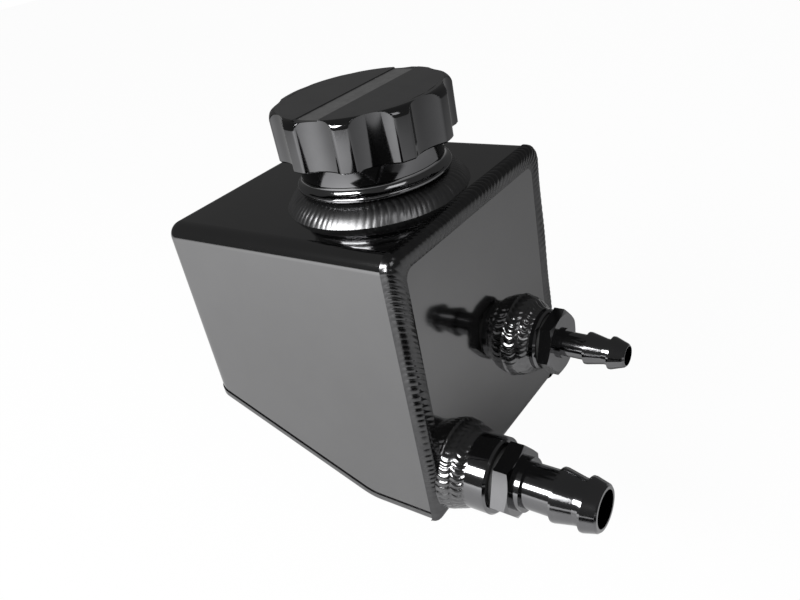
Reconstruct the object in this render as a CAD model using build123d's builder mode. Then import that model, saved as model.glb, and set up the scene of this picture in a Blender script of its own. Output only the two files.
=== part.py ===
from build123d import *
from dataclasses import dataclass
from math import atan, cos, hypot, radians, tan
import os

os.makedirs("parts", exist_ok=True)

# Lengths are millimetres and angles are degrees.
# The origin lies on the rear wall's outer face, midway between the two fixing bosses.
# +X points forward to the hose fittings, +Z up to the filler cap.

# Folded sheet tank
tank_depth = 96.0
tank_width = 90.0
front_height = 98.0
rear_height = 70.0
sump_length = 29.0
sheet = 3.0
bend_radius = 5.0
sump_bend_radius = 20.0

# Fixing bosses in the rear wall
fixing_drop = 35.0
fixing_spacing = 50.0
fixing_radius = 7.0
fixing_length = 12.0
fixing_hole_radius = 2.5
fixing_hole_depth = 9.0

# Seam welds
bead_lap = 3.6
bead_reach = 6.3
bead_crown = 0.7
bead_bulge = 0.5
bead_round = 3.2
window_corner = 3.5
floor_bead_bulge = 0.4
floor_bead_round = 1.6
weld_gap = 0.05
weld_swell = 0.4

# Filler neck
neck_from_rear = 61.7
neck_across = -2.4
neck_radius = 23.0
neck_bore_radius = 20.0
neck_height = 10.3
lip_radius = 25.4
lip_height = 4.1
lip_edge = 1.4
lip_round = 0.6
rim_radius = 23.4
flare_sag = 0.5
neck_weld_reach = 7.4
neck_weld_rise = 5.6
neck_weld_swell = 1.0

# Filler cap
cap_radius = 29.0
cap_height = 16.0
cap_edge_in = 2.4
cap_edge_down = 2.6
cap_edge_swell = 0.5
cap_lower_chamfer = 0.6
lobe_count = 12
lobe_turn = 10.0
lobe_round = 2.4
groove_width = 5.2
groove_depth = 2.7
groove_round = 1.0
collar_radius = 23.5
collar_height = 6.0
collar_cove = 0.8
plug_length = 9.8
plug_clearance = 0.3
cap_seat_gap = 0.3
band_width = 9.0
band_depth = 0.4

# Cap seal
cap_seal_radius = 21.2
cap_seal_section = 0.8
cap_seal_side_gap = 0.3
cap_seal_face_gap = 0.05

# Return port
return_side_inset = 25.8
return_drop = 63.4
return_bung_radius = 11.0
return_bung_length = 10.6
return_bung_bore = 5.6
return_weld_reach = 4.2
return_weld_rise = 4.0
return_seal_radius = 9.6
return_seal_thickness = 1.4
return_hex_flats = 20.8
return_hex_length = 4.4
return_hex_turn = 8.5
return_spigot_length = 8.0
return_boss_radius = 5.4
return_boss_length = 1.2
return_stem_radius = 4.45
return_barb_radius = 5.65
return_barb_start = 9.3
return_barb_pitch = 8.4
return_tail_length = 5.6
return_tip_radius = 4.15
return_bore_radius = 3.3

# Feed port
feed_side_inset = 15.7
feed_floor_height = 13.5
feed_bung_radius = 12.8
feed_bung_length = 16.0
feed_bung_bore = 8.0
feed_weld_reach = 2.9
feed_weld_rise = 4.5
feed_seal_radius = 10.2
feed_seal_thickness = 1.6
feed_hex_flats = 21.8
feed_hex_length = 5.6
feed_hex_turn = 8.5
feed_spigot_length = 12.0
feed_boss_radius = 8.9
feed_boss_length = 2.5
feed_stem_radius = 7.5
feed_barb_radius = 8.8
feed_barb_start = 12.5
feed_barb_pitch = 9.3
feed_tail_length = 5.4
feed_tip_radius = 7.7
feed_bore_radius = 6.1

# Shared fitting details
spigot_gap = 0.05
seal_bore_gap = 0.3
bung_chamfer = 0.7
hex_chamfer_angle = 25.0
barb_land = 0.7
barb_taper_share = 0.75
tip_chamfer = 0.6

# Derived levels
top_z = fixing_drop
sump_z = top_z - front_height
rear_low_z = top_z - rear_height
floor_slope = atan((front_height - rear_height) / (tank_depth - sump_length))
wall_front_x = tank_depth - bead_lap
half_width = tank_width / 2
rim_z = top_z + neck_height
collar_z = rim_z + cap_seat_gap
head_z = collar_z + collar_height
plug_radius = neck_bore_radius - plug_clearance

front_face = Plane(origin=(tank_depth, 0, top_z), x_dir=(0, 1, 0), z_dir=(1, 0, 0))
rear_face = Plane(origin=(0, 0, 0), x_dir=(0, -1, 0), z_dir=(-1, 0, 0))
neck_section = Plane(origin=(neck_from_rear, neck_across, top_z), x_dir=(1, 0, 0), z_dir=(0, -1, 0))
neck_axis = Axis((neck_from_rear, neck_across, 0), (0, 0, 1))


def level_plane(height):
    """Horizontal plane at the given height, centred on the filler neck."""
    return Plane(origin=(neck_from_rear, neck_across, height))


def neck_distance(edge):
    """How far an edge's middle lies from the neck's centre line."""
    middle = edge @ 0.5
    return hypot(middle.X - neck_from_rear, middle.Y - neck_across)


@dataclass
class Port:
    """Sizes of one hose port: bung, weld, seal and barbed fitting."""

    across: float
    drop: float
    bung_radius: float
    bung_length: float
    bung_bore: float
    weld_reach: float
    weld_rise: float
    seal_radius: float
    seal_thickness: float
    hex_flats: float
    hex_length: float
    hex_turn: float
    spigot_length: float
    boss_radius: float
    boss_length: float
    stem_radius: float
    barb_radius: float
    barb_start: float
    barb_pitch: float
    tail_length: float
    tip_radius: float
    bore_radius: float

    def axis(self):
        """Centre line of the port."""
        return Axis((tank_depth, self.across, top_z - self.drop), (1, 0, 0))

    def section(self):
        """Lengthwise section plane, measured out from the tank's front face."""
        centre = (tank_depth, self.across, top_z - self.drop)
        return Plane(origin=centre, x_dir=(1, 0, 0), z_dir=(0, -1, 0))

    def face(self, out):
        """Plane square to the axis, the given distance out from the tank's front face."""
        centre = (tank_depth + out, self.across, top_z - self.drop)
        return Plane(origin=centre, x_dir=(0, 1, 0), z_dir=(1, 0, 0))


return_port = Port(
    across=half_width - return_side_inset,
    drop=return_drop,
    bung_radius=return_bung_radius,
    bung_length=return_bung_length,
    bung_bore=return_bung_bore,
    weld_reach=return_weld_reach,
    weld_rise=return_weld_rise,
    seal_radius=return_seal_radius,
    seal_thickness=return_seal_thickness,
    hex_flats=return_hex_flats,
    hex_length=return_hex_length,
    hex_turn=return_hex_turn,
    spigot_length=return_spigot_length,
    boss_radius=return_boss_radius,
    boss_length=return_boss_length,
    stem_radius=return_stem_radius,
    barb_radius=return_barb_radius,
    barb_start=return_barb_start,
    barb_pitch=return_barb_pitch,
    tail_length=return_tail_length,
    tip_radius=return_tip_radius,
    bore_radius=return_bore_radius,
)

feed_port = Port(
    across=feed_side_inset - half_width,
    drop=front_height - feed_floor_height,
    bung_radius=feed_bung_radius,
    bung_length=feed_bung_length,
    bung_bore=feed_bung_bore,
    weld_reach=feed_weld_reach,
    weld_rise=feed_weld_rise,
    seal_radius=feed_seal_radius,
    seal_thickness=feed_seal_thickness,
    hex_flats=feed_hex_flats,
    hex_length=feed_hex_length,
    hex_turn=feed_hex_turn,
    spigot_length=feed_spigot_length,
    boss_radius=feed_boss_radius,
    boss_length=feed_boss_length,
    stem_radius=feed_stem_radius,
    barb_radius=feed_barb_radius,
    barb_start=feed_barb_start,
    barb_pitch=feed_barb_pitch,
    tail_length=feed_tail_length,
    tip_radius=feed_tip_radius,
    bore_radius=feed_bore_radius,
)


def side_outline(rear_x, front_x, high_z, rise, front_round=0):
    """Tank outline seen from the side, its floor raised square to each run."""
    rear_z = rear_low_z + rise / cos(floor_slope)
    level_z = sump_z + rise
    bend_x = (rear_z - level_z) / tan(floor_slope)
    with BuildSketch(Plane.XZ) as outline:
        with BuildLine():
            Polyline(
                (rear_x, high_z),
                (front_x, high_z),
                (front_x, level_z),
                (bend_x, level_z),
                (rear_x, rear_z - rear_x * tan(floor_slope)),
                close=True,
            )
        make_face()
        low_corners = outline.vertices().group_by(Axis.Y)[0].sort_by(Axis.X)
        fillet(low_corners[0], sump_bend_radius - rise)
        if front_round:
            fillet(outline.vertices().group_by(Axis.Y)[0].sort_by(Axis.X)[-1], front_round)
    return outline.sketch


# Folded shell: top, both sides and rear
with BuildPart() as tank_shell:
    extrude(side_outline(0, wall_front_x, top_z, sheet), amount=half_width, both=True)
    roof_edges = tank_shell.edges().filter_by(Axis.X).group_by(Axis.Z)[-1]
    rear_edges = tank_shell.edges().filter_by(Axis.Z).group_by(Axis.X)[0]
    roof_rear_edge = tank_shell.edges().filter_by(Axis.Y).group_by(Axis.Z)[-1].sort_by(Axis.X)[0]
    fillet(roof_edges + rear_edges + [roof_rear_edge], bend_radius)
    open_faces = tank_shell.faces().filter_by(lambda face: face.normal_at().Z < -0.5)
    offset(amount=-sheet, openings=open_faces + [tank_shell.faces().sort_by(Axis.X)[-1]])
    with BuildSketch(level_plane(top_z)):
        Circle(neck_radius + weld_gap)
    extrude(amount=-sheet, mode=Mode.SUBTRACT)
    with BuildSketch(rear_face):
        with GridLocations(fixing_spacing, 0, 2, 1):
            Circle(fixing_radius + weld_gap)
    extrude(amount=-sheet, mode=Mode.SUBTRACT)
tank_shell.part.label = "tank_shell"
export_step(tank_shell.part, "parts/tank_shell.step")

# Folded front and floor panel
with BuildPart() as front_pan:
    extrude(
        side_outline(sheet, tank_depth, top_z - sheet, 0, bend_radius),
        amount=half_width - sheet,
        both=True,
    )
    pan_ends = front_pan.faces().filter_by(Axis.Y)
    pan_back = front_pan.faces().sort_by(Axis.X)[0]
    pan_top = front_pan.faces().sort_by(Axis.Z)[-1]
    offset(amount=-sheet, openings=pan_ends + [pan_back, pan_top])
    with BuildSketch(front_face):
        for port in (return_port, feed_port):
            with Locations((port.across, -port.drop)):
                Circle(port.bung_bore)
    extrude(amount=-sheet, mode=Mode.SUBTRACT)
front_pan.part.label = "front_pan"
export_step(front_pan.part, "parts/front_pan.step")


def make_bung(port):
    """Round bung set on the front face, with a hole for the fitting's thread."""
    with BuildPart() as bung:
        with BuildSketch(port.face(0)):
            Circle(port.bung_radius)
            Circle(port.bung_bore, mode=Mode.SUBTRACT)
        extrude(amount=port.bung_length)
        end_rims = bung.edges().filter_by(GeomType.CIRCLE).group_by(Axis.X)[-1]
        chamfer(end_rims.sort_by(SortBy.RADIUS)[-1], bung_chamfer)
    return bung.part


return_bung = make_bung(return_port)
return_bung.label = "return_bung"
export_step(return_bung, "parts/return_bung.step")

feed_bung = make_bung(feed_port)
feed_bung.label = "feed_bung"
export_step(feed_bung, "parts/feed_bung.step")

# Weld along the front panel's top and upright edges
with BuildPart() as front_weld:
    bead_half = half_width + bead_bulge
    with BuildSketch(Plane.YZ.offset(wall_front_x)) as bead_root:
        with Locations((0, sump_z)):
            Rectangle(2 * bead_half, front_height + bead_bulge, align=(Align.CENTER, Align.MIN))
            fillet(bead_root.vertices().group_by(Axis.Y)[-1], bend_radius + bead_bulge)
            Rectangle(
                tank_width - 2 * sheet,
                front_height - sheet,
                align=(Align.CENTER, Align.MIN),
                mode=Mode.SUBTRACT,
            )
    extrude(amount=bead_lap)
    with BuildSketch(Plane.YZ.offset(tank_depth)) as bead_face:
        with Locations((0, sump_z)):
            Rectangle(2 * bead_half, front_height + bead_bulge, align=(Align.CENTER, Align.MIN))
            fillet(bead_face.vertices().group_by(Axis.Y)[-1], bend_radius + bead_bulge)
            Rectangle(
                tank_width - 2 * bead_reach,
                front_height - bead_reach,
                align=(Align.CENTER, Align.MIN),
                mode=Mode.SUBTRACT,
            )
        window_corners = bead_face.vertices().filter_by(
            lambda corner: abs(abs(corner.X) - half_width + bead_reach) < weld_gap and corner.Y > 0
        )
        fillet(window_corners, window_corner)
    extrude(amount=bead_crown)
    crown_edges = front_weld.faces().sort_by(Axis.X)[-1].edges()
    outer_edges = crown_edges.filter_by(
        lambda edge: abs((edge @ 0.5).Y) > half_width - bend_radius / 2 or (edge @ 0.5).Z > top_z - bead_round
    )
    fillet(outer_edges, bead_round)
    extrude(
        side_outline(0, tank_depth + bead_crown, rim_z, 0, bend_radius + bead_crown),
        amount=tank_width,
        both=True,
        mode=Mode.INTERSECT,
    )
    add(feed_bung, mode=Mode.SUBTRACT)
front_weld.part.label = "front_weld"
export_step(front_weld.part, "parts/front_weld.step")

# Weld along the floor panel's side and rear edges
with BuildPart() as floor_weld:
    extrude(
        side_outline(0, wall_front_x, top_z, 0),
        amount=half_width + floor_bead_bulge,
        both=True,
    )
    fillet(floor_weld.edges().filter_by(Axis.Z).group_by(Axis.X)[0], bend_radius)
    floor_faces = floor_weld.faces().filter_by(lambda face: face.normal_at().Z < -0.5)
    low_edges = floor_faces.edges().filter_by(
        lambda edge: abs((edge @ 0.5).Y) > half_width - bend_radius or (edge @ 0.5).X < sheet
    )
    fillet(low_edges, floor_bead_round)
    extrude(side_outline(0, wall_front_x, top_z, sheet), amount=tank_width, both=True, mode=Mode.SUBTRACT)
    extrude(
        side_outline(sheet, wall_front_x, top_z, 0),
        amount=half_width - sheet,
        both=True,
        mode=Mode.SUBTRACT,
    )
floor_weld.part.label = "floor_weld"
export_step(floor_weld.part, "parts/floor_weld.step")

# Turned filler neck with a flared lip
with BuildPart() as filler_neck:
    lip_low = neck_height - lip_height
    with BuildSketch(neck_section) as neck_wall:
        with BuildLine():
            edge_top = (lip_radius, lip_low + lip_edge)
            rim = (rim_radius, neck_height)
            flare = (
                (lip_radius + rim_radius) / 2 - flare_sag,
                (lip_low + lip_edge + neck_height) / 2 - flare_sag,
            )
            ThreePointArc(edge_top, flare, rim)
            Polyline(
                rim,
                (neck_bore_radius, neck_height),
                (neck_bore_radius, -sheet),
                (neck_radius, -sheet),
                (neck_radius, lip_low),
                (lip_radius, lip_low),
                edge_top,
            )
        make_face()
        fillet(neck_wall.vertices().group_by(Axis.X)[-1], lip_round)
    revolve(axis=neck_axis)
filler_neck.part.label = "filler_neck"
export_step(filler_neck.part, "parts/filler_neck.step")

# Weld around the filler neck
with BuildPart() as neck_weld:
    with BuildSketch(neck_section):
        with BuildLine():
            toe = (neck_radius + neck_weld_reach, 0)
            crest = (neck_radius, neck_weld_rise)
            middle = (
                neck_radius + neck_weld_reach / 2 + neck_weld_swell,
                neck_weld_rise / 2 + neck_weld_swell,
            )
            ThreePointArc(toe, middle, crest)
            Polyline(crest, (neck_radius, 0), toe)
        make_face()
    revolve(axis=neck_axis)
neck_weld.part.label = "neck_weld"
export_step(neck_weld.part, "parts/neck_weld.step")

# Lobed filler cap with its collar and plug
with BuildPart() as filler_cap:
    with BuildSketch(level_plane(head_z)):
        Circle(cap_radius)
        with PolarLocations(cap_radius, lobe_count, start_angle=lobe_turn + 180 / lobe_count):
            Rectangle(2 * groove_depth, groove_width, mode=Mode.SUBTRACT)
    extrude(amount=cap_height)
    uprights = filler_cap.edges().filter_by(Axis.Z)
    fillet(uprights.filter_by(lambda edge: neck_distance(edge) < cap_radius - groove_depth / 2), groove_round)
    uprights = filler_cap.edges().filter_by(Axis.Z)
    fillet(uprights.filter_by(lambda edge: neck_distance(edge) > cap_radius - weld_gap), lobe_round)
    with BuildSketch(neck_section):
        low = head_z - top_z
        high = low + cap_height
        with BuildLine():
            edge_low = (cap_radius, high - cap_edge_down)
            edge_high = (cap_radius - cap_edge_in, high)
            edge_middle = (
                cap_radius - cap_edge_in / 2 + cap_edge_swell,
                high - cap_edge_down / 2 + cap_edge_swell,
            )
            ThreePointArc(edge_low, edge_middle, edge_high)
            Polyline(
                edge_high,
                (0, high),
                (0, low),
                (cap_radius - cap_lower_chamfer, low),
                (cap_radius, low + cap_lower_chamfer),
                edge_low,
            )
        make_face()
    revolve(axis=neck_axis, mode=Mode.INTERSECT)
    with BuildSketch(level_plane(head_z)):
        Circle(collar_radius)
    extrude(amount=-collar_height)
    collar_rim = filler_cap.edges().filter_by(
        lambda edge: abs((edge @ 0).Z - head_z) < weld_gap and edge.geom_type == GeomType.CIRCLE
    )
    fillet(collar_rim.sort_by(SortBy.RADIUS)[-1], collar_cove)
    with BuildSketch(level_plane(collar_z)):
        Circle(plug_radius)
    extrude(amount=-plug_length)
    with BuildSketch(level_plane(collar_z)):
        Circle(cap_seal_radius + cap_seal_section + cap_seal_side_gap)
        Circle(cap_seal_radius - cap_seal_section - cap_seal_side_gap, mode=Mode.SUBTRACT)
    extrude(amount=2 * (cap_seal_section + cap_seal_face_gap) - cap_seat_gap, mode=Mode.SUBTRACT)
    with BuildSketch(level_plane(head_z + cap_height)):
        Rectangle(band_width, 2 * cap_radius)
    extrude(amount=-band_depth, mode=Mode.SUBTRACT)
filler_cap.part.label = "filler_cap"
export_step(filler_cap.part, "parts/filler_cap.step")

# Seal ring between the cap's collar and the neck's lip
with BuildPart() as cap_seal:
    with BuildSketch(neck_section):
        with Locations((cap_seal_radius, neck_height + cap_seal_face_gap + cap_seal_section)):
            Circle(cap_seal_section)
    revolve(axis=neck_axis)
cap_seal.part.label = "cap_seal"
export_step(cap_seal.part, "parts/cap_seal.step")


def make_port_weld(port):
    """Fillet weld around a bung, trimmed to the front face, the floor and the corner bead."""
    toe_radius = port.bung_radius + port.weld_reach
    with BuildPart() as weld:
        with BuildSketch(port.section()):
            with BuildLine():
                toe = (0, toe_radius)
                crest = (port.weld_rise, port.bung_radius)
                middle = (
                    port.weld_rise / 2 + weld_swell,
                    port.bung_radius + port.weld_reach / 2 + weld_swell,
                )
                ThreePointArc(toe, middle, crest)
                Polyline(
                    crest,
                    (0, port.bung_radius),
                    (0, port.bung_bore),
                    (-bend_radius, port.bung_bore),
                    (-bend_radius, toe_radius),
                    toe,
                )
            make_face()
        revolve(axis=port.axis())
        extrude(
            side_outline(0, tank_depth, top_z, 0, bend_radius),
            amount=tank_width,
            both=True,
            mode=Mode.SUBTRACT,
        )
        split(bisect_by=Plane.XY.offset(sump_z), keep=Keep.TOP)
        add(front_weld.part, mode=Mode.SUBTRACT)
    return weld.part


return_weld = make_port_weld(return_port)
return_weld.label = "return_weld"
export_step(return_weld, "parts/return_weld.step")

feed_weld = make_port_weld(feed_port)
feed_weld.label = "feed_weld"
export_step(feed_weld, "parts/feed_weld.step")


def make_fitting(port):
    """Hex fitting with a threaded spigot behind and a barbed hose stem in front."""
    hex_back = port.bung_length + port.seal_thickness
    hex_front = hex_back + port.hex_length
    spigot_end = hex_back - port.spigot_length
    spigot_radius = port.bung_bore - spigot_gap
    corner_radius = port.hex_flats / 2 / cos(radians(30))
    corner_drop = (corner_radius - port.hex_flats / 2) * tan(radians(hex_chamfer_angle))
    first_barb = hex_front + port.barb_start
    second_barb = first_barb + port.barb_pitch
    tip = second_barb + port.tail_length
    with BuildPart() as fitting:
        with BuildSketch(port.face(hex_back)):
            RegularPolygon(port.hex_flats / 2, 6, major_radius=False, rotation=port.hex_turn)
        extrude(amount=port.hex_length)
        with BuildSketch(port.section()):
            with BuildLine():
                Polyline(
                    (hex_back, 0),
                    (hex_back, corner_radius),
                    (hex_front - corner_drop, corner_radius),
                    (hex_front, port.hex_flats / 2),
                    (hex_front, 0),
                    close=True,
                )
            make_face()
        revolve(axis=port.axis(), mode=Mode.INTERSECT)
        with BuildSketch(port.section()):
            with BuildLine():
                Polyline(
                    (spigot_end, 0),
                    (spigot_end, spigot_radius),
                    (hex_back, spigot_radius),
                    (hex_back, port.boss_radius),
                    (hex_front + port.boss_length, port.boss_radius),
                    (hex_front + port.boss_length, port.stem_radius),
                    (first_barb, port.stem_radius),
                    (first_barb, port.barb_radius),
                    (first_barb + barb_land, port.barb_radius),
                    (first_barb + barb_taper_share * port.barb_pitch, port.stem_radius),
                    (second_barb, port.stem_radius),
                    (second_barb, port.barb_radius),
                    (second_barb + barb_land, port.barb_radius),
                    (tip - tip_chamfer, port.tip_radius),
                    (tip, port.tip_radius - tip_chamfer),
                    (tip, 0),
                    close=True,
                )
            make_face()
        revolve(axis=port.axis())
        with BuildSketch(port.face(spigot_end)):
            Circle(port.bore_radius)
        extrude(amount=tip - spigot_end, mode=Mode.SUBTRACT)
    return fitting.part


return_fitting = make_fitting(return_port)
return_fitting.label = "return_fitting"
export_step(return_fitting, "parts/return_fitting.step")

feed_fitting = make_fitting(feed_port)
feed_fitting.label = "feed_fitting"
export_step(feed_fitting, "parts/feed_fitting.step")


def make_port_seal(port):
    """Flat sealing washer between a bung and its fitting's hex."""
    with BuildPart() as seal:
        with BuildSketch(port.face(port.bung_length)):
            Circle(port.seal_radius)
            Circle(port.bung_bore + seal_bore_gap, mode=Mode.SUBTRACT)
        extrude(amount=port.seal_thickness)
    return seal.part


return_seal = make_port_seal(return_port)
return_seal.label = "return_seal"
export_step(return_seal, "parts/return_seal.step")

feed_seal = make_port_seal(feed_port)
feed_seal.label = "feed_seal"
export_step(feed_seal, "parts/feed_seal.step")

# Tapped bosses in the rear wall
with BuildPart() as mount_bosses:
    with BuildSketch(rear_face):
        with GridLocations(fixing_spacing, 0, 2, 1):
            Circle(fixing_radius)
    extrude(amount=-fixing_length)
    with BuildSketch(rear_face):
        with GridLocations(fixing_spacing, 0, 2, 1):
            Circle(fixing_hole_radius)
    extrude(amount=-fixing_hole_depth, mode=Mode.SUBTRACT)
mount_bosses.part.label = "mount_bosses"
export_step(mount_bosses.part, "parts/mount_bosses.step")
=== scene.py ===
import math

import bpy
from mathutils import Matrix, Vector


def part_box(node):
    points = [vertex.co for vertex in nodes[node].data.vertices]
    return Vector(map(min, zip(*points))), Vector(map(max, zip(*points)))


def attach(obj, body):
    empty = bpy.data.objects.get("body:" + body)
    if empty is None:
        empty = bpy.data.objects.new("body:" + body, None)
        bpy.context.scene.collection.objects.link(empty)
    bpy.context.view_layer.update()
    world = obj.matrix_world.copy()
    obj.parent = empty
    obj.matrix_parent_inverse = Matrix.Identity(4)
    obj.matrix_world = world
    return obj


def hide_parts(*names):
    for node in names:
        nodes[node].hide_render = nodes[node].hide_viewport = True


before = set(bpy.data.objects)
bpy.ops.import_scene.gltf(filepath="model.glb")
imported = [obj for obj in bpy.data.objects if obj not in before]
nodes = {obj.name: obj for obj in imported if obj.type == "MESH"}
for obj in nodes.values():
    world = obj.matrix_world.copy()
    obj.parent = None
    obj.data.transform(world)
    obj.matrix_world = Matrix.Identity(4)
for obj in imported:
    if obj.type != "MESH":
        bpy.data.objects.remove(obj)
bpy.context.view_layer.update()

MM = 0.001
TAU = 2 * math.pi


# Places read from the parts

_, shell_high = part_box("tank_shell")
pan_low, pan_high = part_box("front_pan")
bead_low, bead_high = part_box("front_weld")
toe_low, toe_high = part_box("neck_weld")
neck_x = (toe_low.x + toe_high.x) / 2
neck_y = (toe_low.y + toe_high.y) / 2
top_z = shell_high.z
floor_z = pan_low.z
front_x = pan_high.x


# Sizes of the part that no box gives

neck_radius = 0.023
fold_radius = 0.005
bead_span = 0.0068
bead_inner_radius = 0.0035
bead_knee = 0.0032


# Forms of the weld beads

neck_swell = 0.0009
fine_ripple = 0.0003
port_ripple = 0.0006
pass_valley = 0.0005


# Node tree helpers

def new_tree(name):
    material = bpy.data.materials.new(name)
    material.use_nodes = True
    tree = material.node_tree
    tree.nodes.clear()
    return material, tree


def add_node(tree, kind, **settings):
    node = tree.nodes.new(kind)
    for key, value in settings.items():
        setattr(node, key, value)
    return node


def noise(tree, scale, detail=4.0, rough=0.6, stretch=(1, 1, 1)):
    """Cloudy pattern fixed to the part's own frame."""
    place = add_node(tree, "ShaderNodeTexCoord")
    mapping = add_node(tree, "ShaderNodeMapping")
    mapping.inputs["Scale"].default_value = stretch
    texture = add_node(tree, "ShaderNodeTexNoise")
    texture.inputs["Scale"].default_value = scale
    texture.inputs["Detail"].default_value = detail
    texture.inputs["Roughness"].default_value = rough
    tree.links.new(place.outputs["Object"], mapping.inputs["Vector"])
    tree.links.new(mapping.outputs["Vector"], texture.inputs["Vector"])
    return texture.outputs["Fac"]


def remap(tree, value, low, high):
    node = add_node(tree, "ShaderNodeMapRange")
    node.inputs["To Min"].default_value = low
    node.inputs["To Max"].default_value = high
    tree.links.new(value, node.inputs["Value"])
    return node.outputs["Result"]


def blend_colour(tree, value, low, high):
    node = add_node(tree, "ShaderNodeMix", data_type="RGBA")
    node.inputs[6].default_value = (*low, 1)
    node.inputs[7].default_value = (*high, 1)
    tree.links.new(value, node.inputs[0])
    return node.outputs[2]


def bump(tree, value, strength, distance):
    node = add_node(tree, "ShaderNodeBump")
    node.inputs["Strength"].default_value = strength
    node.inputs["Distance"].default_value = distance
    tree.links.new(value, node.inputs["Height"])
    return node.outputs["Normal"]


def metal(
    name, dark, light, rough_low, rough_high,
    grain=60.0, stretch=(1, 1, 1), relief=0.0, metallic=1.0,
):
    """Dark metal whose tint and gloss drift a little over the surface."""
    material, tree = new_tree(name)
    shader = add_node(tree, "ShaderNodeBsdfPrincipled")
    out = add_node(tree, "ShaderNodeOutputMaterial")
    pattern = noise(tree, grain, stretch=stretch)
    tree.links.new(blend_colour(tree, pattern, dark, light), shader.inputs["Base Color"])
    tree.links.new(remap(tree, pattern, rough_low, rough_high), shader.inputs["Roughness"])
    shader.inputs["Metallic"].default_value = metallic
    if relief:
        fine = noise(tree, grain * 4, detail=6.0, stretch=stretch)
        tree.links.new(bump(tree, fine, relief, 0.0003), shader.inputs["Normal"])
    tree.links.new(shader.outputs["BSDF"], out.inputs["Surface"])
    return material


tank_black = metal("tank_black", (0.175, 0.175, 0.177), (0.20, 0.20, 0.202), 0.06, 0.10, 40.0)
weld_black = metal("weld_black", (0.12, 0.12, 0.123), (0.19, 0.19, 0.193), 0.13, 0.22, 300.0)
neck_bead_black = metal(
    "neck_bead_black", (0.11, 0.11, 0.113), (0.17, 0.17, 0.173), 0.28, 0.38, 300.0,
)
# Painted shade: the front corner bead gets a darker copy of the weld metal, which dims its
# reflections and glints
seam_painted_dark = metal("seam_painted_dark", (0.06, 0.06, 0.062), (0.12, 0.12, 0.122), 0.16, 0.26, 260.0)
neck_black = metal("neck_black", (0.20, 0.20, 0.205), (0.24, 0.24, 0.245), 0.08, 0.12, 60.0)
cap_black = metal("cap_black", (0.15, 0.15, 0.155), (0.19, 0.19, 0.195), 0.06, 0.09, 80.0)
# Painted shade: the scoops and shoulder get a darker copy of the cap metal, standing in for the
# dark surroundings they reflect
cap_scoop_painted_dark = metal("cap_scoop_painted_dark", (0.09, 0.09, 0.093), (0.13, 0.13, 0.133), 0.06, 0.09, 80.0)
cap_face = metal(
    "cap_face", (0.21, 0.21, 0.213), (0.25, 0.25, 0.253), 0.34, 0.40, 120.0, relief=0.02,
)
cap_band = metal(
    "cap_band", (0.36, 0.36, 0.36), (0.44, 0.44, 0.44), 0.42, 0.52, 500.0, relief=0.1,
)
bung_black = metal("bung_black", (0.16, 0.16, 0.165), (0.20, 0.20, 0.205), 0.07, 0.10, 60.0)
fitting_black = metal("fitting_black", (0.16, 0.16, 0.165), (0.20, 0.20, 0.205), 0.09, 0.13, 80.0)
boss_metal = metal("boss_metal", (0.24, 0.24, 0.245), (0.28, 0.28, 0.285), 0.10, 0.14, 60.0)
seal_rubber = metal(
    "seal_rubber", (0.012, 0.012, 0.012), (0.02, 0.02, 0.02), 0.6, 0.7, 200.0, metallic=0.0,
)

finishes = {
    "tank_shell": tank_black,
    "front_pan": tank_black,
    "front_weld": seam_painted_dark,
    "floor_weld": weld_black,
    "filler_neck": neck_black,
    "neck_weld": neck_bead_black,
    "filler_cap": cap_black,
    "cap_seal": seal_rubber,
    "return_bung": bung_black,
    "return_weld": weld_black,
    "return_fitting": fitting_black,
    "return_seal": seal_rubber,
    "feed_bung": bung_black,
    "feed_weld": weld_black,
    "feed_fitting": fitting_black,
    "feed_seal": seal_rubber,
    "mount_bosses": boss_metal,
}
for name, material in finishes.items():
    mesh = nodes[name].data
    mesh.materials.clear()
    mesh.materials.append(material)


# Rippled weld beads

def grid_mesh(name, body, point, along, across, closed, node, material):
    """Sheet of quads from point(t, s); it stands for one plain bead of the part."""
    columns = along if closed else along + 1
    verts = [point(i / along, j / across) for i in range(columns) for j in range(across + 1)]
    faces = []
    for i in range(along):
        here, there = i * (across + 1), ((i + 1) % columns) * (across + 1)
        for j in range(across):
            faces.append((here + j, there + j, there + j + 1, here + j + 1))
    if not closed:
        faces.append(tuple(range(across + 1)))
        faces.append(tuple(along * (across + 1) + j for j in reversed(range(across + 1))))
    mesh = bpy.data.meshes.new(name)
    mesh.from_pydata(verts, [], faces)
    mesh.materials.append(material)
    mesh.update()
    mesh.shade_smooth()
    bead = bpy.data.objects.new(name, mesh)
    bpy.context.scene.collection.objects.link(bead)
    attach(bead, body)
    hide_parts(node)


def ripple(phase, count, seed):
    """Height of overlapping weld puddles: 1 on a crest, 0 in the crease between two."""
    index = math.floor(phase)
    share = phase - index
    lift = 0.62 + 0.38 * math.sin((index % count) * 12.9898 + seed)
    return lift * (1 - (2 * share - 1) ** 2) ** 0.7


def hollow(t, s, count, seed, depth, bow=0.6):
    """How far the bead lies below its plain form, fading out toward its two toes."""
    fade = min(1.0, 6 * s, 6 * (1 - s))
    drift = 0.004 * math.sin(TAU * 5 * t + seed) + 0.002 * math.sin(TAU * 13 * t)
    return depth * fade * (1 - ripple((t + drift) * count + bow * (2 * s - 1) ** 2, count, seed))


def arc_through(a, b, swell, s):
    """Point on a bulging fillet from a to b, each (out, along)."""
    middle = ((a[0] + b[0]) / 2 + swell, (a[1] + b[1]) / 2 + swell)
    u = 1 - s
    return tuple(
        u * u * a[k] + 2 * u * s * (2 * middle[k] - (a[k] + b[k]) / 2) + s * s * b[k]
        for k in (0, 1)
    )


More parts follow.
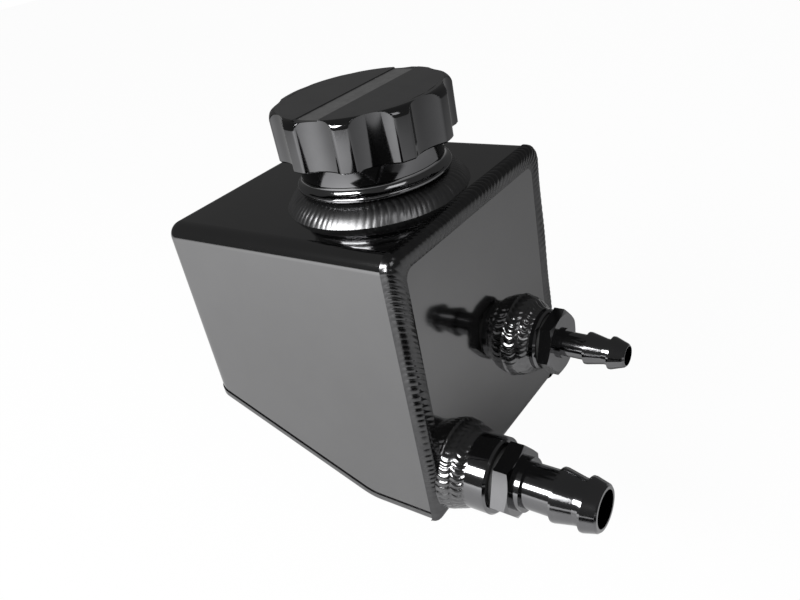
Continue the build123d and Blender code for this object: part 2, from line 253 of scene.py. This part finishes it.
def neck_bead():
    toe = (toe_high.x - toe_low.x) / 2
    rise = toe_high.z - toe_low.z
    count = 84

    def point(t, s):
        r, h = arc_through((toe, 0.0), (neck_radius, rise), neck_swell, s)
        low = hollow(t, s, count, 1.7, fine_ripple)
        r, h = r - low * 0.7, max(h - low * 0.7, 0.0)
        return (neck_x + r * math.cos(TAU * t), neck_y + r * math.sin(TAU * t), top_z + h)

    grid_mesh("neck_bead", "tank", point, count * 8, 10, True, "neck_weld", neck_bead_black)


def fold_x(z):
    """Front face of the panel at height z, rounded where it folds into the floor."""
    short = max(fold_radius - (z - floor_z), 0.0)
    return front_x - fold_radius + math.sqrt(max(fold_radius ** 2 - short ** 2, 0.0))


def port_bead(name, weld, bung, count, seed, rise, swell, passes):
    """Bead round a bung, laid in one or more passes up its wall."""
    low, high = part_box(weld)
    bung_low, bung_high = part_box(bung)
    y, z = (bung_low.y + bung_high.y) / 2, (bung_low.z + bung_high.z) / 2
    wall, toe = (bung_high.y - bung_low.y) / 2, (high.y - low.y) / 2

    def point(t, s):
        r, out = arc_through((toe, 0.0), (wall, rise), swell, s)
        layer = min(math.floor(s * passes), passes - 1)
        share = s * passes - layer
        between = abs(2 * share - 1) ** 4 * min(1.0, 5 * s, 5 * (1 - s))
        valley = (passes - 1) * pass_valley * between
        sunk = hollow(t, share, count, seed + layer, port_ripple) + valley
        r, out = r - sunk * 0.7, max(out - sunk * 0.7, 0.0)
        up = max(z + r * math.sin(TAU * t), floor_z + 0.00002)
        base = fold_x(up)
        x = base + (out + front_x - base) * s + out * (1 - s)
        return (x, y + r * math.cos(TAU * t), up)

    grid_mesh(name, "tank", point, count * 8, 12 * passes, True, weld, weld_black)


def corner_bead():
    """Bead up one side of the front, over the top and down the other side."""
    half, high, x0, x1 = bead_high.y, bead_high.z, bead_low.x, bead_high.x
    inner_half, inner_high = half - bead_span, high - bead_span
    outer_r = fold_radius + half - shell_high.y
    knee = bead_knee
    leg, roof, turn = high - outer_r - floor_z, 2 * (half - outer_r), outer_r * math.pi / 2
    total = 2 * leg + 2 * turn + roof
    count = 128

    def outline(t, half_w, top, r):
        d = t * total
        side = -1
        if d > total / 2:
            d, side = total - d, 1
        if d <= leg:
            return side * half_w, floor_z + (top - r - floor_z) * d / leg, (side, 0.0)
        if d <= leg + turn:
            a = (d - leg) / turn * math.pi / 2
            normal = (side * math.cos(a), math.sin(a))
            return side * (half_w - r + r * math.cos(a)), top - r + r * math.sin(a), normal
        share = (d - leg - turn) / (roof / 2)
        return side * (half_w - r) * (1 - share), top, (0.0, 1.0)

    def point(t, s):
        yo, zo, normal = outline(t, half, high, outer_r)
        yi, zi, _ = outline(t, inner_half, inner_high, bead_inner_radius)
        if s < 0.2:
            d, x, nd, nx = 0.0, x0 + (x1 - knee - x0) * s / 0.2, 1.0, 0.0
        elif s < 0.6:
            a = (s - 0.2) / 0.4 * math.pi / 2
            nd, nx = math.cos(a), math.sin(a)
            d, x = knee - knee * nd, x1 - knee + knee * nx
        else:
            share = (s - 0.6) / 0.4
            nd, nx = 0.0, 1.0
            d, x = knee + (bead_span - knee) * share, x1 - (x1 - front_x) * share ** 2.5
        sunk = hollow(t, s, count, 4.1, fine_ripple, 0.9)
        y = yo + (yi - yo) * d / bead_span - normal[0] * nd * sunk
        z = zo + (zi - zo) * d / bead_span - normal[1] * nd * sunk
        x = x - nx * sunk
        x = min(x, fold_x(z) + x1 - front_x)
        return (x, y, z)

    grid_mesh("corner_bead", "tank", point, count * 8, 15, False, "front_weld", seam_painted_dark)


neck_bead()
port_bead("return_bead", "return_weld", "return_bung", 34, 2.3, 0.0084, 0.0009, 2)
port_bead("feed_bead", "feed_weld", "feed_bung", 40, 5.9, 0.0088, 0.0003, 2)
corner_bead()


# Scooped cap

grip_count = 10
grip_turn = math.radians(25.5)
grip_radius = 0.0129
cap_radius = 0.029
grip_depth = 0.0026
grip_centre = cap_radius - grip_depth + grip_radius
edge_soft = 0.00012
disc_radius = 0.0252
band_half = 0.0045
band_depth = 0.0004
head_height = 0.016
shoulder_down = 0.0026
shoulder_in = 0.0024
shoulder_swell = 0.0005
shoulder_steps = 24
lower_chamfer = 0.0006
collar_height = 0.006
collar_radius = 0.0235
collar_cove = 0.0008
plug_radius = 0.0197
seal_groove = (0.0201, 0.0223)
seal_groove_rise = 0.0014


def grip_reach(angle):
    """Outline of the cap's head: wide finger scoops with narrow lands between them."""
    pitch = TAU / grip_count
    near = (angle - grip_turn + pitch / 2) % pitch - pitch / 2
    across = grip_centre * math.sin(near)
    scoop = grip_centre * math.cos(near) - math.sqrt(grip_radius ** 2 - across ** 2)
    low = min(scoop, cap_radius)
    return low - edge_soft * math.log(1 + math.exp(-abs(scoop - cap_radius) / edge_soft))


def scooped_cap():
    """The cap with ten wide scoops, which the plain solid lacks."""
    cap_low, cap_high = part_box("filler_cap")
    low, high = cap_low.z, cap_high.z
    head = high - head_height
    collar = head - collar_height
    around = grip_count * 48
    plain = [
        (plug_radius, low),
        (plug_radius, collar),
        (seal_groove[0], collar),
        (seal_groove[0], collar + seal_groove_rise),
        (seal_groove[1], collar + seal_groove_rise),
        (seal_groove[1], collar),
        (collar_radius, collar),
        (collar_radius, head - collar_cove),
        (collar_radius + 0.0002, head - 0.0003),
        (collar_radius + collar_cove, head),
    ]
    edge = [
        (cap_radius - lower_chamfer, head, lower_chamfer),
        (cap_radius, head + lower_chamfer, 0.0),
        (cap_radius, high - shoulder_down, 0.0),
    ]
    shoulder = (cap_radius, -shoulder_down), (cap_radius - shoulder_in, 0.0)
    for k in range(1, shoulder_steps + 1):
        out, down = arc_through(*shoulder, shoulder_swell, k / shoulder_steps)
        edge.append((out, high + down, 0.0))
    verts, faces, slots = [], [], []

    def ring(radius_at, z):
        for i in range(around):
            angle = TAU * i / around
            x, y = radius_at(angle) * math.cos(angle), radius_at(angle) * math.sin(angle)
            level = min(z, high - band_depth) if abs(x) < band_half else z
            verts.append((neck_x + x, neck_y + y, level))

    for radius, z in plain:
        ring(lambda angle: radius, z)
    for limit, z, inset in edge:
        ring(lambda angle: min(limit, grip_reach(angle) - inset), z)
    ring(lambda angle: disc_radius, high)
    rows = len(plain) + len(edge) + 1
    faces.append(tuple(reversed(range(around))))
    slots.append(0)
    for j in range(rows - 1):
        for i in range(around):
            here, there = j * around + i, j * around + (i + 1) % around
            faces.append((here, there, there + around, here + around))
            # Slot 3 puts the darker cap metal, painted shade, on the scoop walls and shoulder
            slots.append(1 if j == rows - 2 else 3 if j >= len(plain) else 0)
    side = [-disc_radius + (disc_radius - band_half) * k / 20 for k in range(21)]
    columns = [(x, high) for x in side]
    columns += [(band_half * (k / 5 - 1), high - band_depth) for k in range(11)]
    columns += [(-x, high) for x in reversed(side)]
    start, across = len(verts), 24
    for x, z in columns:
        reach = math.sqrt(max(disc_radius ** 2 - x ** 2, 0.0))
        for j in range(across + 1):
            verts.append((neck_x + x, neck_y + reach * (2 * j / across - 1), z))
    for i in range(len(columns) - 1):
        step = columns[i][1] != columns[i + 1][1]
        for j in range(across):
            here = start + i * (across + 1) + j
            faces.append((here, here + across + 1, here + across + 2, here + 1))
            slots.append(0 if step else 1 if columns[i][1] == high else 2)
    mesh = bpy.data.meshes.new("scooped_cap")
    mesh.from_pydata(verts, [], faces)
    for material in (cap_black, cap_face, cap_band, cap_scoop_painted_dark):
        mesh.materials.append(material)
    mesh.polygons.foreach_set("material_index", slots)
    mesh.update()
    mesh.shade_smooth()
    mesh.set_sharp_from_angle(angle=math.radians(28))
    cap = bpy.data.objects.new("scooped_cap", mesh)
    bpy.context.scene.collection.objects.link(cap)
    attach(cap, "cap")
    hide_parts("filler_cap")


scooped_cap()


# Studio

def stage_plane(name, size, place, material):
    bpy.ops.mesh.primitive_plane_add(size=size, location=place)
    plane = bpy.context.object
    plane.name = name
    plane.data.materials.append(material)
    return plane


def floor_material():
    """Pale floor: nearly shadowless to the camera, plain white paper to everything else."""
    material, tree = new_tree("pale_floor")
    path = add_node(tree, "ShaderNodeLightPath")
    paper = add_node(tree, "ShaderNodeBsdfDiffuse")
    paper.inputs["Color"].default_value = (0.8, 0.8, 0.8, 1)
    glow = add_node(tree, "ShaderNodeEmission")
    glow.inputs["Color"].default_value = (1, 1, 1, 1)
    share = add_node(tree, "ShaderNodeMath", operation="MULTIPLY")
    share.inputs[1].default_value = 0.97
    tree.links.new(path.outputs["Is Camera Ray"], share.inputs[0])
    mix = add_node(tree, "ShaderNodeMixShader")
    tree.links.new(share.outputs[0], mix.inputs[0])
    tree.links.new(paper.outputs[0], mix.inputs[1])
    tree.links.new(glow.outputs[0], mix.inputs[2])
    out = add_node(tree, "ShaderNodeOutputMaterial")
    tree.links.new(mix.outputs[0], out.inputs["Surface"])
    return material


def flag_material():
    """Black felt, a little uneven."""
    material, tree = new_tree("black_flag")
    felt = add_node(tree, "ShaderNodeBsdfDiffuse")
    out = add_node(tree, "ShaderNodeOutputMaterial")
    tint = blend_colour(tree, noise(tree, 30.0), (0.008, 0.008, 0.008), (0.02, 0.02, 0.02))
    tree.links.new(tint, felt.inputs["Color"])
    tree.links.new(felt.outputs[0], out.inputs["Surface"])
    return material


floor_drop = 0.045
stage_plane("studio_floor", 6.0, (0.05, 0, floor_z - floor_drop), floor_material())
flag = stage_plane("floor_flag", 1.0, (0.26, -0.26, floor_z + 0.0003), flag_material())
flag.scale = (0.30, 0.26, 1)
flag.rotation_euler = (0, 0, math.radians(40))
flag.visible_camera = False


def lamp(name, place, target, size, power):
    data = bpy.data.lights.new(name, "AREA")
    data.shape = "RECTANGLE"
    data.size, data.size_y = size
    data.energy = power
    light = bpy.data.objects.new(name, data)
    light.location = place
    light.rotation_euler = (Vector(target) - Vector(place)).to_track_quat("-Z", "Y").to_euler()
    bpy.context.scene.collection.objects.link(light)


lamp("key_softbox", (-0.12, -0.80, 0.50), (0.05, 0, 0), (0.6, 0.3), 15.5)
lamp("fill_softbox", (0.9, -0.3, 0.7), (0.08, 0, 0), (0.5, 0.5), 1.6)

world = bpy.data.worlds.new("studio_world")
bpy.context.scene.world = world
world.use_nodes = True
sky = world.node_tree
sky.nodes.clear()
path = add_node(sky, "ShaderNodeLightPath")
room = add_node(sky, "ShaderNodeBackground")
room.inputs["Color"].default_value = (0.1, 0.1, 0.1, 1)
white = add_node(sky, "ShaderNodeBackground")
white.inputs["Color"].default_value = (1, 1, 1, 1)
choose = add_node(sky, "ShaderNodeMixShader")
sky.links.new(path.outputs["Is Camera Ray"], choose.inputs[0])
sky.links.new(room.outputs[0], choose.inputs[1])
sky.links.new(white.outputs[0], choose.inputs[2])
out = add_node(sky, "ShaderNodeOutputWorld")
sky.links.new(choose.outputs[0], out.inputs["Surface"])


# Camera

def photo_camera():
    """Camera at the photograph's angle, aimed from the tank's top face."""
    azimuth, elevation = math.radians(40.4744), math.radians(29.1517)
    roll = math.radians(-11.5822)
    back = Vector((
        math.sin(azimuth) * math.cos(elevation),
        -math.cos(azimuth) * math.cos(elevation),
        math.sin(elevation),
    ))
    level = Vector((math.cos(azimuth), math.sin(azimuth), 0))
    upright = back.cross(level)
    right = math.cos(roll) * level + math.sin(roll) * upright
    up = -math.sin(roll) * level + math.cos(roll) * upright
    top_centre = Vector((front_x / 2, 0, top_z))
    place = top_centre + (265.252 * back + 16.734 * right - 39.891 * up) * MM
    turn = Matrix((right, up, back)).transposed()
    data = bpy.data.cameras.new("photo_camera")
    data.sensor_width = 36.0
    data.lens = 34.948
    data.clip_start = 0.01
    camera = bpy.data.objects.new("photo_camera", data)
    camera.matrix_world = Matrix.Translation(place) @ turn.to_4x4()
    bpy.context.scene.collection.objects.link(camera)
    bpy.context.scene.camera = camera


photo_camera()
bpy.context.scene.view_settings.view_transform = "Standard"
